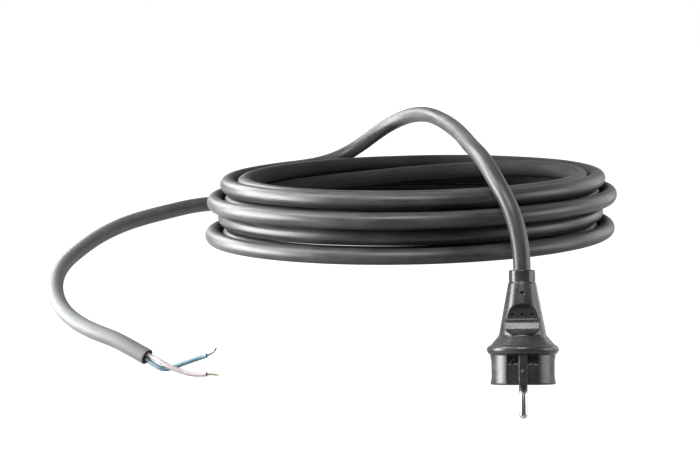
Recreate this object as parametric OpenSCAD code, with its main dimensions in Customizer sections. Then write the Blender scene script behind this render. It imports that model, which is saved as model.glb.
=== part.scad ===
// A mains supply lead: a coil of two-core rubber-sheathed cable with a moulded two-pin plug on one
// end and two stripped cores on the other. Millimetres, +Z up, the origin at the middle of the
// coil's underside. The plug and the bare end hang lower than the coil, to the front (-Y) and to
// the left (-X).

/* [Cable] */
// Outer diameter of the rubber sheath
cable_d = 10; // [9:0.5:11]
// Diameter of one insulated core
core_d = 3; // [2.6:0.1:3.2]
// Play of the two cores inside the sheath
core_play = 0.3; // [0.2:0.05:0.6]
// Diameter of one bare wire
wire_d = 0.5; // [0.4:0.05:0.55]
// Clearance between the bare wires of one conductor
wire_gap = 0.03; // [0.02:0.01:0.06]
// Length of bare wire at the stripped ends
bare_len = 7; // [5:0.5:12]
// Length of the hollow piece of sheath at the cut end
sheath_end_len = 12; // [8:1:20]

/* [Coil] */
// Radius of the widest turn, to the middle of the cable
coil_r = 131; // [125:1:140]
// Turns in each layer
layer_turns = 2; // [2:1:3]
// Number of layers
layers = 4; // [2:2:4]
// Gap between turns that lie side by side
turn_gap = 0.6; // [0.6:0.1:1.5]
// Gap between layers that lie on each other
layer_gap = 0.5; // [0.5:0.1:1.5]
// How much smaller the second and fourth layers are wound
layer_inset = 9; // [4:0.5:10]
// How far the second and fourth layers lie to the right
layer_shift = 5; // [0:0.5:6]
// How far each layer leans to the right of the one under it
layer_lean = 0.8; // [0:0.1:1.5]

/* [Plug body] */
// Diameter of the sleeve round the cable
neck_d = 15; // [14:0.5:16]
// Length of the sleeve
neck_len = 7; // [5:0.5:9]
// Step in radius from the sleeve to the cone
neck_step = 0.4; // [0.2:0.1:0.6]
// Diameter of the cone at its lower end
cone_d = 27; // [26:0.5:29]
// Length of the cone
cone_len = 30.2; // [29.5:0.1:33]
// Length of the shoulder between the cone and the collar
shoulder_len = 5.5; // [4.5:0.5:8]
// Diameter of the collar
collar_d = 41; // [40:0.5:44]
// Thickness of the collar
collar_t = 5.2; // [4.6:0.1:6]
// Diameter of the skirt that enters the socket
skirt_d = 37; // [36.5:0.1:38]
// Length of the skirt
skirt_len = 17.1; // [16.5:0.1:19]

/* [Finger grip] */
// Width of the arched recess
grip_w = 19.6; // [16:0.2:20]
// Distance from the top of the neck to the top of the recess
grip_at = 19.6; // [18:0.2:20.4]
// Height of the recess with its bar
grip_h = 16.9; // [15:0.1:17]
// Height of the round bar across the recess
bar_h = 5.8; // [4:0.1:6.2]
// Distance of the recess's floor from the plug's axis
grip_floor = 7.6; // [7.2:0.1:8.4]
// Diameter of the small holes left by the mould's pins
mould_hole_d = 1.7; // [1.2:0.1:2]
// Depth of those holes
mould_hole_depth = 1.3; // [0.8:0.1:1.5]
// Distance from the top of the neck to the single hole in the cone
cone_hole_at = 13.3; // [12:0.1:15]
// Distance from the top of the recess to the row of three holes in its floor
grip_hole_at = 5.9; // [5:0.1:7]
// Distance of the two outer holes from the recess's sides
grip_hole_edge = 4.3; // [3.6:0.1:5]

/* [Socket guides] */
// Width of the groove in the skirt
guide_w = 18; // [16:0.5:20]
// Distance of the groove's floor from the plug's axis
guide_floor = 15.5; // [15:0.1:16]
// Height of the rib in the groove above its floor
guide_rib_h = 2.3; // [1.5:0.1:2.6]
// Depth of the hollows at the groove's top end
hollow_depth = 1.9; // [1:0.1:2]
// Height of those hollows
hollow_h = 5.4; // [4:0.1:5.6]
// Depth of the shallow waist on the skirt's two other sides
waist_depth = 1.3; // [0.8:0.1:1.6]
// Width of the waist
waist_w = 9; // [6:0.5:12]

/* [Pins] */
// Diameter of a contact pin
pin_d = 4.8; // [4.7:0.05:4.9]
// Free length of a contact pin
pin_len = 19; // [18:0.1:20]
// Distance between the two pins
pin_pitch = 19; // [18.6:0.1:19.4]
// Diameter of a pin inside the plug
pin_root_d = 4.2; // [3.8:0.1:4.6]
// Diameter of the flange that seats a pin
flange_d = 6.4; // [5.8:0.1:7]
// Thickness of that flange
flange_t = 1.5; // [1:0.1:2]
// Outer diameter of the barrel that is crimped on the wires
barrel_d = 3.2; // [3:0.1:3.8]
// Length of that barrel
barrel_len = 6; // [5:0.5:7]
// Wall of that barrel
barrel_wall = 0.7; // [0.5:0.05:0.7]

/* [Pin carrier] */
// Width of the rigid block that holds both pins
carrier_w = 9; // [8:0.5:9.5]
// Thickness of the block
carrier_t = 8.5; // [7:0.5:9]
// Rubber between the block and the plug's face
face_skin = 2; // [1.5:0.1:3]

/* [Fits] */
// Clearance round the pieces that the rubber is moulded on
mould_gap = 0.05; // [0.02:0.01:0.1]
// Length of sheath inside the plug
sheath_in_len = 28; // [26:0.5:29]
// Distance of the cores from the plug's axis where they start to spread
core_spread = 3.8; // [3.4:0.1:4.2]

/* [Hidden] */

// The cord's route where it isn't coiled, as points chosen by hand.
// From the top of the coil, over its front edge and down to the plug's neck.
arch_route = [[-56, 105, 36.5], [-42.5, 111.5, 40], [-28, 114, 47.5], [-12.5, 110.5, 58.5],
    [1.5, 98.5, 67], [11, 80, 71], [20, 55, 72], [27, 32, 70], [32, 8, 67.5], [35.5, -16, 65],
    [37.5, -40, 63], [39.5, -64, 61], [42.5, -86, 58], [46.5, -104.5, 52], [51.3, -119.5, 42.5],
    [56.8, -128.5, 30.5], [60.8, -134.2, 14.5]];
neck_top = [61.9, -138, -3];
// How the plug hangs: its pins lean out to the front, and it is turned about the upright.
plug_lean = 11;
plug_turn = -5.1;
// From the bottom of the coil, round to the left and down to the cut end.
tail_route = [[-66, 118, 5], [-90, 112, 8], [-114.5, 105, 10.5], [-138, 96, 11], [-160.5, 84, 8],
    [-181.5, 71, 4], [-200.5, 56, -2.5], [-215, 38, -11], [-224, 18, -19.5], [-225, -2, -29.5],
    [-218.5, -20, -39], [-207.5, -35, -45.5], [-193.5, -48, -50], [-180.5, -57, -53.5]];
cut_end = [-160.5, -69.5, -62];
cut_heading = [20, -12, -9];
// The two cores, from the cut end of the sheath to the ends of their insulation.
brown_route = [[-152.5, -75.5, -63.5], [-144, -81, -67], [-136.5, -84.5, -69], [-130, -88, -69.5],
    [-123, -91, -69]];
blue_route = [[-156, -72.5, -66.5], [-150.5, -74, -68.5], [-143, -75.5, -67], [-134.5, -78, -63.5],
    [-123.5, -81, -59.5]];

// Rings in each loop of the coil, and sides of the swept tubes.
LOOP_RINGS = 24;
COIL_SIDES = 6;
CORD_SIDES = 10;
CORE_SIDES = 8;
$fn = 48;

// Directions, as seen from above, in which the cord leaves the coil's bottom and top layers.
tail_azimuth = 105;
arch_azimuth = 135;

// Shape of a climb from layer to layer, in turns from where the spiral reverses: it first moves
// over to the next layer's radius, and then rises.
MOVE_FROM = -0.25;
MOVE_TURNS = 0.3;
RISE_FROM = -0.1;
RISE_TURNS = 0.35;

turn_pitch = cable_d + turn_gap;
layer_pitch = cable_d + layer_gap;
flat_cut = cable_d / 10;
seat_z = cable_d / 2 - flat_cut;
coil_turns = layers * layer_turns - (arch_azimuth - tail_azimuth) / 360;
coil_rings = round(coil_turns * LOOP_RINGS);

core_bore_d = 2 * core_d + core_play;
core_off = core_d / 2 + core_play / 6;
conductor_d = 3 * wire_d + 2 * wire_gap;

// Heights in the plug, from the top of its neck downwards.
cone_z = -neck_len;
shoulder_z = cone_z - cone_len;
collar_z = shoulder_z - shoulder_len;
skirt_z = collar_z - collar_t;
face_z = skirt_z - skirt_len;
carrier_z = face_z + face_skin;
flange_z = carrier_z + carrier_t + mould_gap;
barrel_z = flange_z + flange_t;
barrel_top = barrel_z + barrel_len;
core_end_z = barrel_top + 1;
core_knee_z = core_end_z + 2;
core_bend_z = shoulder_z + 0.5;
pin_y = pin_pitch / 2;
cone_slope = (cone_d / 2 - neck_d / 2 - neck_step) / cone_len;

function unit(v) = v / norm(v);
function sum(list, i = 0) = i < len(list) ? list[i] + sum(list, i + 1) : 0;
function smooth(x) = let (t = min(max(x, 0), 1)) t * t * (3 - 2 * t);
// The part of n that is square to the direction t, at length 1.
function square_to(n, t) = unit(n - (n * t) * t);
function heading(azimuth) = [sin(azimuth), -cos(azimuth), 0];
function along(points) = sum([for (i = [1 : len(points) - 1]) norm(points[i] - points[i - 1])]);

// The coil: how many layers the cord has climbed after t turns, and how much of the inset it has.
function climbed(t) = sum([for (k = [1 : layers - 1])
    smooth((t - k * layer_turns - RISE_FROM) / RISE_TURNS)]);
function drawn_in(t) = sum([for (k = [1 : layers - 1])
    (k % 2 == 1 ? 1 : -1) * smooth((t - k * layer_turns - MOVE_FROM) / MOVE_TURNS)]);
function coil_point(t) = let (
        way = t % (2 * layer_turns),
        r = coil_r - turn_pitch * min(way, 2 * layer_turns - way) - layer_inset * drawn_in(t),
        a = tail_azimuth - 360 * t)
    [r * cos(a) + layer_shift * drawn_in(t) + layer_lean * climbed(t),
        r * sin(a), seat_z + layer_pitch * climbed(t)];

tail_out = -heading(tail_azimuth);
arch_out = heading(arch_azimuth);
plug_down = [sin(plug_lean) * sin(plug_turn), -sin(plug_lean) * cos(plug_turn), -cos(plug_lean)];
coil_path = [for (i = [0 : coil_rings]) coil_point(i / LOOP_RINGS)];
tail_joint = coil_path[0] + cable_d * tail_out;
arch_joint = coil_path[coil_rings] + cable_d * arch_out;

cut_dir = unit(cut_heading);
cut_side = square_to([0, 0, 1], cut_dir);
hollow_start = cut_end - sheath_end_len * cut_dir;

arch_path = concat([arch_joint], arch_route, [neck_top]);
tail_path = concat([tail_joint], tail_route, [hollow_start]);
function core_path(side, route) = concat(
    [hollow_start + side * core_off * cut_side, cut_end + side * core_off * cut_side], route);

// Directions at the points of a path, with the first and the last one given.
function headings(p, first, last) = [for (i = [0 : len(p) - 1])
    i == 0 ? first : i == len(p) - 1 ? last : unit(p[i + 1] - p[i - 1])];
// Normals along a path, each carried on from the one before so that the tube doesn't twist.
function carried(dirs, n, i = 0) = i == len(dirs) ? [] :
    let (m = square_to(n, dirs[i])) concat([m], carried(dirs, m, i + 1));
function ring(p, dir, n, r, sides) = [for (k = [0 : sides - 1])
    p + r * (cos(360 * k / sides) * cross(dir, n) + sin(360 * k / sides) * n)];
function triangles(rings, sides) = concat(
    [for (i = [0 : rings - 2], k = [0 : sides - 1]) let (m = (k + 1) % sides)
        each [[i * sides + k, i * sides + m, (i + 1) * sides + k],
            [i * sides + m, (i + 1) * sides + m, (i + 1) * sides + k]]],
    [for (k = [1 : sides - 2]) [0, k + 1, k]],
    [for (k = [1 : sides - 2]) let (s = (rings - 1) * sides) [s, s + k, s + k + 1]]);

// A tube swept along a path, cut off flat at the height lowest where it reaches under it.
module tube(path, dirs, normals, d, sides, lowest = -1000) {
    points = [for (i = [0 : len(path) - 1]) each ring(path[i], dirs[i], normals[i], d / 2, sides)];
    polyhedron([for (p = points) [p.x, p.y, max(p.z, lowest)]], triangles(len(path), sides));
}

// Turns +Z to the direction dir.
module aim(dir) {
    rotate([0, acos(dir.z), atan2(dir.y, dir.x)]) children();
}

// One conductor: a middle wire with six round it, standing on the XY plane.
module wires(length) {
    for (k = [0 : 6])
        rotate(60 * k)
            translate([k == 0 ? 0 : wire_d + wire_gap, 0, 0])
                cylinder(d = wire_d, h = length, $fn = 16);
}

/* Cable */

module cable_coil() {
    path = concat([tail_joint], coil_path, [arch_joint]);
    dirs = headings(path, -tail_out, arch_out);
    normals = [for (t = dirs) square_to([0, 0, 1], t)];
    color("#3b3e40") tube(path, dirs, normals, cable_d, COIL_SIDES, 0);
}

module cable_arch() {
    dirs = headings(arch_path, arch_out, plug_down);
    color("#45494b") tube(arch_path, dirs, carried(dirs, [0, 0, 1]), cable_d, CORD_SIDES);
}

module cable_tail() {
    dirs = headings(tail_path, tail_out, cut_dir);
    color("#3f4345") tube(tail_path, dirs, carried(dirs, [0, 0, 1]), cable_d, CORD_SIDES);
}

module sheath_end() {
    color("#3f4345")
        translate(hollow_start)
            aim(cut_dir)
                difference() {
                    cylinder(d = cable_d, h = sheath_end_len);
                    translate([0, 0, -1]) cylinder(d = core_bore_d, h = sheath_end_len + 2);
                }
}

module bare_core(path) {
    last = len(path) - 1;
    dirs = headings(path, cut_dir, unit(path[last] - path[last - 1]));
    tube(path, dirs, carried(dirs, cut_side), core_d, CORE_SIDES);
}

module bare_wires(path) {
    last = len(path) - 1;
    translate(path[last]) aim(unit(path[last] - path[last - 1])) wires(bare_len);
}

module core_brown() {
    color("#b9988f") bare_core(core_path(1, brown_route));
}

module core_blue() {
    color("#7fb0c4") bare_core(core_path(-1, blue_route));
}

module strands_brown() {
    color("#b08a6a") bare_wires(core_path(1, brown_route));
}

module strands_blue() {
    color("#b08a6a") bare_wires(core_path(-1, blue_route));
}

/* Plug. Its pieces are drawn with the top of the neck at the origin and the plug pointing down. */

module in_plug() {
    translate(neck_top) rotate([-plug_lean, 0, plug_turn]) children();
}

// Half of the plug's outline: sleeve, cone, shoulder, collar with its round edge, and skirt.
module body_outline() {
    edge_r = collar_t / 2;
    polygon(concat(
        [[0, 0], [neck_d / 2 - 0.5, 0], [neck_d / 2, -0.5], [neck_d / 2, cone_z],
            [neck_d / 2 + neck_step, cone_z - neck_step], [cone_d / 2, shoulder_z]],
        [for (a = [80 : -20 : -60])
            [collar_d / 2 - edge_r + edge_r * cos(a), collar_z - edge_r + edge_r * sin(a)]],
        [[skirt_d / 2, skirt_z], [skirt_d / 2, face_z + 0.8], [skirt_d / 2 - 0.8, face_z],
            [0, face_z]]));
}

// The arched recess, as a cut that runs outwards from its floor on the +Y side.
module grip_recess() {
    arch_z = -grip_at - grip_w / 2;
    low_z = -grip_at - grip_h;
    corner = bar_h / 2;
    translate([0, grip_floor, 0])
        rotate([-90, 0, 0])
            linear_extrude(collar_d / 2)
                mirror([0, 1, 0]) {
                    translate([0, arch_z]) circle(d = grip_w);
                    translate([-grip_w / 2, low_z + corner]) square([grip_w, arch_z - low_z - corner]);
                    translate([-grip_w / 2 + corner, low_z]) square([grip_w - 2 * corner, corner + 1]);
                    for (x = [-1, 1])
                        translate([x * (grip_w / 2 - corner), low_z + corner]) circle(corner);
                }
}

// The round bar that closes the recess at its lower end.
module grip_bar() {
    bar_r = bar_h / 2;
    bar_z = -grip_at - grip_h + bar_r;
    bar_out = neck_d / 2 + neck_step + cone_slope * (-bar_z - neck_len) - bar_r + 0.4;
    bar_len = grip_w - 2.4;
    web_h = 0.8 * bar_h;
    translate([-bar_len / 2, bar_out, bar_z]) rotate([0, 90, 0]) cylinder(r = bar_r, h = bar_len);
    translate([-bar_len / 2, grip_floor - 1, bar_z - web_h / 2])
        cube([bar_len, bar_out - grip_floor + 1, web_h]);
}

// The holes of the mould's pins: one in the cone and three in the recess.
module mould_holes() {
    cone_y = neck_d / 2 + neck_step + cone_slope * (cone_hole_at - neck_len);
    translate([0, cone_y - mould_hole_depth, -cone_hole_at])
        rotate([-90, 0, 0]) cylinder(d = mould_hole_d, h = 2 * mould_hole_depth);
    for (i = [-1 : 1])
        translate([i * (grip_w / 2 - grip_hole_edge), grip_floor - mould_hole_depth,
            -grip_at - grip_hole_at])
            rotate([-90, 0, 0]) cylinder(d = mould_hole_d, h = 2 * mould_hole_depth);
}

// The groove in the skirt in line with the pins, with its rib and the two hollows at its top.
module guide_groove() {
    rib_w = pin_d;
    hollow_w = (guide_w - rib_w) / 2 - 0.6;
    difference() {
        translate([-guide_w / 2, guide_floor, face_z - 1])
            cube([guide_w, collar_d, skirt_len + 1 - 0.2]);
        translate([-rib_w / 2, guide_floor - 1, face_z - 2]) cube([rib_w, guide_rib_h + 1, skirt_len + 3]);
    }
    for (x = [-1, 1])
        translate([x * (rib_w / 2 + hollow_w / 2), guide_floor - hollow_depth, skirt_z - 0.2 - hollow_h])
            difference() {
                translate([-hollow_w / 2, 0, 0]) cube([hollow_w, 2 * hollow_depth, hollow_h]);
                translate([0, 0.8, 0])
                    rotate([0, 35 * x, 0]) cube([0.7, 1.6, 3 * hollow_h], center = true);
            }
}

// The shallow waist that clears a socket's earth springs, on the +X side.
module waist() {
    waist_r = 18;
    translate([skirt_d / 2 - waist_depth + waist_r, 0, face_z + skirt_len / 2])
        rotate([90, 0, 0]) cylinder(r = waist_r, h = waist_w, center = true);
}

// The way of a core inside the plug on the +Y side, from the sheath to the pin's barrel.
plug_core_path = [[0, core_off, -sheath_in_len], [0, core_spread, core_bend_z],
    [0, pin_y, core_knee_z], [0, pin_y, core_end_z]];

module plug_core_shape() {
    dirs = headings(plug_core_path, [0, 0, -1], [0, 0, -1]);
    tube(plug_core_path, dirs, carried(dirs, [1, 0, 0]), core_d, CORE_SIDES);
}

// The channel that the core lies in, down to the barrel.
module core_channel() {
    half = core_d / 2 + mould_gap;
    step = plug_core_path[2] - plug_core_path[1];
    half_slant = half * norm(step) / abs(step.z);
    stations = [[core_off, 0.1 - sheath_in_len, half], [core_spread, core_bend_z, half_slant],
        [pin_y, core_knee_z, half_slant], [pin_y, barrel_top - 0.1, half_slant]];
    rotate([90, 0, 90])
        linear_extrude(2 * half, center = true)
            polygon(concat([for (s = stations) [s.x - s.z, s.y]],
                [for (i = [3 : -1 : 0]) [stations[i].x + stations[i].z, stations[i].y]]));
}

module carrier_shape(grow) {
    for (y = [-1, 1])
        translate([0, y * pin_y, carrier_z - grow]) cylinder(d = carrier_w + 2 * grow, h = carrier_t + 2 * grow);
    translate([-carrier_w / 2 - grow, -pin_y, carrier_z - grow])
        cube([carrier_w + 2 * grow, pin_pitch, carrier_t + 2 * grow]);
}

// A contact pin on the plug's axis: round tip, free length, root, flange and crimp barrel.
module pin_shape(grow = 0) {
    r = pin_d / 2 + grow;
    tip_z = face_z - pin_len;
    bore = grow > 0 ? [[0, barrel_top + grow]]
        : [[barrel_d / 2 - barrel_wall, barrel_top], [barrel_d / 2 - barrel_wall, barrel_z + 1],
            [0, barrel_z + 1]];
    rotate_extrude()
        polygon(concat(
            [for (a = [-90 : 15 : 0]) [r * cos(a), tip_z + r + r * sin(a)]],
            [[r, face_z], [pin_root_d / 2 + grow, face_z],
                [pin_root_d / 2 + grow, flange_z - grow], [flange_d / 2 + grow, flange_z - grow],
                [flange_d / 2 + grow, barrel_z + grow], [barrel_d / 2 + grow, barrel_z + grow],
                [barrel_d / 2 + grow, barrel_top + grow]],
            bore));
}

module plug_body() {
    color("#43484b")
        in_plug()
            difference() {
                union() {
                    difference() {
                        rotate_extrude() body_outline();
                        for (side = [0, 180])
                            rotate(side) {
                                grip_recess();
                                guide_groove();
                                rotate(90) waist();
                            }
                    }
                    for (side = [0, 180])
                        rotate(side) grip_bar();
                }
                for (side = [0, 180])
                    rotate(side) {
                        mould_holes();
                        core_channel();
                        translate([0, pin_y, 0]) pin_shape(mould_gap);
                    }
                carrier_shape(mould_gap);
                translate([0, 0, -sheath_in_len - mould_gap])
                    cylinder(d = cable_d + 2 * mould_gap, h = sheath_in_len + 1);
            }
}

module plug_sheath() {
    color("#3b3e40")
        in_plug() translate([0, 0, -sheath_in_len]) cylinder(d = cable_d, h = sheath_in_len);
}

module plug_core_brown() {
    color("#8a5a3c") in_plug() rotate(180) plug_core_shape();
}

module plug_core_blue() {
    color("#3f7fb0") in_plug() plug_core_shape();
}

// The bare wires inside the plug, from the end of the core into the pin's barrel.
module plug_wires() {
    translate([0, pin_y, barrel_z + 1.2]) wires(core_end_z - barrel_z - 1.2);
}

module plug_strands_brown() {
    color("#b87a50") in_plug() rotate(180) plug_wires();
}

module plug_strands_blue() {
    color("#b87a50") in_plug() plug_wires();
}

module pin_carrier() {
    color("#d8d4c8")
        in_plug()
            difference() {
                carrier_shape(0);
                for (y = [-1, 1])
                    translate([0, y * pin_y, carrier_z - 1])
                        cylinder(d = pin_root_d + 2 * mould_gap, h = carrier_t + 2);
            }
}

module pin_line() {
    color("#c9c7c0") in_plug() translate([0, -pin_y, 0]) pin_shape();
}

module pin_neutral() {
    color("#c9c7c0") in_plug() translate([0, pin_y, 0]) pin_shape();
}

cable_coil();
cable_arch();
cable_tail();
sheath_end();
core_brown();
core_blue();
strands_brown();
strands_blue();
plug_body();
plug_sheath();
plug_core_brown();
plug_core_blue();
plug_strands_brown();
plug_strands_blue();
pin_carrier();
pin_line();
pin_neutral();

// The coil's least gap to itself, from each ring's middle to the stretches half a loop further on.
function to_stretch(p, a, b) =
    let (t = min(max((p - a) * (b - a) / ((b - a) * (b - a)), 0), 1)) norm(p - a - t * (b - a));
least_gap = min([for (i = [0 : coil_rings], j = [i + LOOP_RINGS / 2 : 1 : coil_rings - 1])
    to_stretch(coil_path[i], coil_path[j], coil_path[j + 1])]) - cable_d;
echo(str("least gap of the coil to itself, mm: ", least_gap));
echo(str("length of the coil, mm: ", along(concat([tail_joint], coil_path, [arch_joint]))));
echo(str("length of the arch, mm: ", along(arch_path)));
echo(str("length of the tail to the cut, mm: ", along(concat(tail_path, [cut_end]))));
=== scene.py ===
"""Mains supply lead: a coil of rubber-sheathed cable with a moulded two-pin plug on one end and two
stripped cores on the other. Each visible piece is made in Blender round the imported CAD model."""

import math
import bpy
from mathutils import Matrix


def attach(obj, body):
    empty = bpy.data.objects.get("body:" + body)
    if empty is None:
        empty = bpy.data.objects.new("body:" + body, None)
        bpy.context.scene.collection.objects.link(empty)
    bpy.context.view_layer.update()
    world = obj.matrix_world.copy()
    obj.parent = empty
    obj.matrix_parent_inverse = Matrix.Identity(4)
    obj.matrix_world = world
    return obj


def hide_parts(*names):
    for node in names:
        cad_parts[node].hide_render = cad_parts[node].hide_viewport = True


bl_info = {
    "name": "Mains supply lead",
    "version": (1, 0, 0),
    "blender": (4, 5, 0),
    "location": "View3D > Sidebar > Supply lead",
    "description": "Makes the pieces of a coiled mains supply lead round its packed CAD model",
    "category": "Object",
}

import bpy
import numpy as np
from mathutils import Matrix, Vector

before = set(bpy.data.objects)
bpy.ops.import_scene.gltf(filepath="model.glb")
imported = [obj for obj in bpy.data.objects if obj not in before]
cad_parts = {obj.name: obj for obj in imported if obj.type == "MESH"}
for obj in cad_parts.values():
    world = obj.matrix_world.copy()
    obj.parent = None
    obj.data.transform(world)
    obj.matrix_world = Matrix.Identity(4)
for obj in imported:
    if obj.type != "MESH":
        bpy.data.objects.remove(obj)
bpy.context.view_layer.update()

MM = 0.001  # the functions below work in millimetres, and a mesh is made in metres
SHARP_ANGLE = math.radians(50)  # an edge that turns by more is shaded as an edge
UP = np.array([0.0, 0.0, 1.0])
ACROSS = np.array([1.0, 0.0, 0.0])
WHITE = (1.0, 1.0, 1.0, 1.0)

# The winding. Its turns are counted from the tail, and these sizes are the CAD source's own.
COIL_R = 131.0
LAYER_TURNS = 2
LAYERS = 4
TURN_PITCH = 10.6
LAYER_PITCH = 10.5
SEAT_Z = 4.0
LAYER_INSET = 9.0
LAYER_SHIFT = 5.0
LAYER_LEAN = 0.8
TAIL_AZIMUTH = 105.0
ARCH_AZIMUTH = 135.0
COIL_TURNS = LAYERS * LAYER_TURNS - (ARCH_AZIMUTH - TAIL_AZIMUTH) / 360
MOVE_FROM, MOVE_TURNS = -0.25, 0.3
RISE_FROM, RISE_TURNS = -0.1, 0.35
LOOP_POINTS = 48
JOINT_LENGTH = 10.0
# Rings of the cable this near the coil's axis and higher than this rest on what carries the coil.
RESTS_WITHIN = 150
RESTS_ABOVE = 3

# The arch from the coil over to the plug, and the tail from the coil down to the cut end.
ARCH_ROUTE = np.array([
    [-56, 105, 36.5], [-42.5, 111.5, 40], [-28, 114, 47.5], [-12.5, 110.5, 58.5], [1.5, 98.5, 67],
    [11, 80, 71], [20, 55, 72], [27, 32, 70], [32, 8, 67.5], [35.5, -16, 65], [37.5, -40, 63],
    [39.5, -64, 61], [42.5, -86, 58], [46.5, -104.5, 52], [51.3, -119.5, 42.5], [56.8, -128.5, 30.5],
    [60.8, -134.2, 14.5],
])
NECK_TOP = np.array([61.9, -138, -3.0])
IN_NECK = 3  # how far down the neck the cable's line starts
PLUG_LEAN = math.radians(11.0)
PLUG_TURN = math.radians(-5.1)
TAIL_ROUTE = np.array([
    [-66, 118, 5], [-90, 112, 8], [-114.5, 105, 10.5], [-138, 96, 11], [-160.5, 84, 8],
    [-181.5, 71, 4], [-200.5, 56, -2.5], [-215, 38, -11], [-224, 18, -19.5], [-225, -2, -29.5],
    [-218.5, -20, -39], [-207.5, -35, -45.5], [-193.5, -48, -50], [-180.5, -57, -53.5],
])
CUT_END = np.array([-160.5, -69.5, -62])
CUT_HEADING = np.array([20.0, -12.0, -9.0])
HOLLOW_LENGTH = 12.0
CORE_OFF = 1.55
BORE_R = 3.15
BROWN_ROUTE = np.array([
    [-152.5, -75.5, -63.5], [-144, -81, -67], [-136.5, -84.5, -69], [-130, -88, -69.5], [-123, -91, -69],
])
BLUE_ROUTE = np.array([
    [-156, -72.5, -66.5], [-150.5, -74, -68.5], [-143, -75.5, -67], [-134.5, -78, -63.5],
    [-123.5, -81, -59.5],
])
BROWN_WIRES = np.array([[3.6, -1.4, 0.15], [7.2, -2.7, 0.1]])
BLUE_WIRES = np.array([[2.6, -0.9, 1.2], [4.8, -1.7, 3.0], [6.1, -2.2, 5.2]])
# Stretches of the cable's length from the plug, in metres, over which it goes into the coil and out of
# it again, and over which the tail gets duller, and paler with talc and with painted light that brightens it.
COIL_FROM, COIL_TO = (0.37, 0.42), (6.05, 6.12)
DULL_FROM_TO, TALC_AND_PAINTED_LIGHT_FROM_TO = (6.2, 6.4), (6.27, 6.45)

# The plug, with the top of its neck at zero and the pins pointing down.
PIN_Y = 9.5
PIN_LENGTH = 19
FACE_Z = -65.0
PLUG_STEP = 0.42
# Radii and heights of a pin's root, flange, barrel and the bore for the crimp.
ROOT_R, FLANGE_R, BARREL_R, CRIMP_R = 2.1, 3.2, 1.6, 0.9
FLANGE_Z, FLANGE_TOP, BARREL_TOP, CRIMP_FLOOR = -54.45, -52.95, -46.95, -51.95


def unit(vectors):
    """Each vector divided by its own length."""
    return vectors / np.linalg.norm(vectors, axis=-1, keepdims=True)


def ease(share):
    """3 t^2 - 2 t^3 of the share t, held between 0 and 1: a step with level ends."""
    share = np.clip(share, 0.0, 1.0)
    return share * share * (3.0 - 2.0 * share)


def round_angles(sides):
    """The angles of so many points evenly round a circle, from 0."""
    return np.linspace(0, 2 * math.pi, sides, endpoint=False)


def heading(azimuth):
    """The direction in which the winding runs at an azimuth in degrees: (sin a, -cos a, 0)."""
    return np.array([math.sin(math.radians(azimuth)), -math.cos(math.radians(azimuth)), 0.0])


def hung(points):
    """Points of the plug in its place: leaned to the front about X, turned about the upright, moved."""
    lean, turn = -PLUG_LEAN, PLUG_TURN
    y = points[..., 1] * math.cos(lean) - points[..., 2] * math.sin(lean)
    z = points[..., 1] * math.sin(lean) + points[..., 2] * math.cos(lean)
    x = points[..., 0] * math.cos(turn) - y * math.sin(turn)
    y = points[..., 0] * math.sin(turn) + y * math.cos(turn)
    return np.stack([x, y, z], axis=-1) + NECK_TOP


NECK_UP = hung(UP) - NECK_TOP
CUT_DIR = unit(CUT_HEADING)
CUT_SIDE = unit(UP - (UP @ CUT_DIR) * CUT_DIR)
HOLLOW_START = CUT_END - HOLLOW_LENGTH * CUT_DIR


def winding(turns):
    """Points of the winding at an array of turns.

    In each layer the radius falls by a turn's pitch for each turn in, and grows again in the next
    layer. At every second turn the height climbs by a layer's pitch and the layer moves in or out by
    its inset, both on an eased step. The angle falls by 360 degrees for each turn.
    """
    way = turns % (2 * LAYER_TURNS)
    inward = np.minimum(way, 2 * LAYER_TURNS - way)
    layer = np.arange(1, LAYERS)[:, None]
    climbed = ease((turns - LAYER_TURNS * layer - RISE_FROM) / RISE_TURNS).sum(0)
    moved = ease((turns - LAYER_TURNS * layer - MOVE_FROM) / MOVE_TURNS)
    drawn_in = (np.where(layer % 2 == 1, 1, -1) * moved).sum(0)
    radius = COIL_R - TURN_PITCH * inward - LAYER_INSET * drawn_in
    angle = np.radians(TAIL_AZIMUTH - 360 * turns)
    return np.stack([
        radius * np.cos(angle) + LAYER_SHIFT * drawn_in + LAYER_LEAN * climbed,
        radius * np.sin(angle),
        SEAT_Z + LAYER_PITCH * climbed,
    ], axis=1)


def spline(points, first, last, step):
    """Points about step apart on a cubic spline through points, which sets out along first.

    It arrives along last. Between two points it is the cubic that has their places and tangents. The
    tangents solve the linear system that makes the curvature run on unbroken through every point,
    and each cubic's parameter is the distance between its two points.
    """
    gaps = np.linalg.norm(np.diff(points, axis=0), axis=1)
    slopes = np.diff(points, axis=0) / gaps[:, None] ** 2
    count = len(points)
    matrix, right = np.zeros((count, count)), np.zeros((count, 3))
    matrix[0, 0] = matrix[-1, -1] = 1.0
    right[0], right[-1] = first, last
    inner = np.arange(1, count - 1)
    matrix[inner, inner - 1] = 1 / gaps[:-1]
    matrix[inner, inner] = 2 / gaps[:-1] + 2 / gaps[1:]
    matrix[inner, inner + 1] = 1 / gaps[1:]
    right[1:-1] = 3 * (slopes[:-1] + slopes[1:])
    tangents = np.linalg.solve(matrix, right)
    knots = np.concatenate([[0], np.cumsum(gaps)])
    at = np.linspace(0, knots[-1], max(2, math.ceil(knots[-1] / step) + 1))
    i = np.clip(np.searchsorted(knots, at, side="right") - 1, 0, count - 2)
    gap, t = gaps[i, None], ((at - knots[i]) / gaps[i])[:, None]
    return (
        (1 + 2 * t) * (1 - t) ** 2 * points[i]
        + t * (1 - t) ** 2 * gap * tangents[i]
        + t * t * (3 - 2 * t) * points[i + 1]
        + t * t * (t - 1) * gap * tangents[i + 1]
    )


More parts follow.
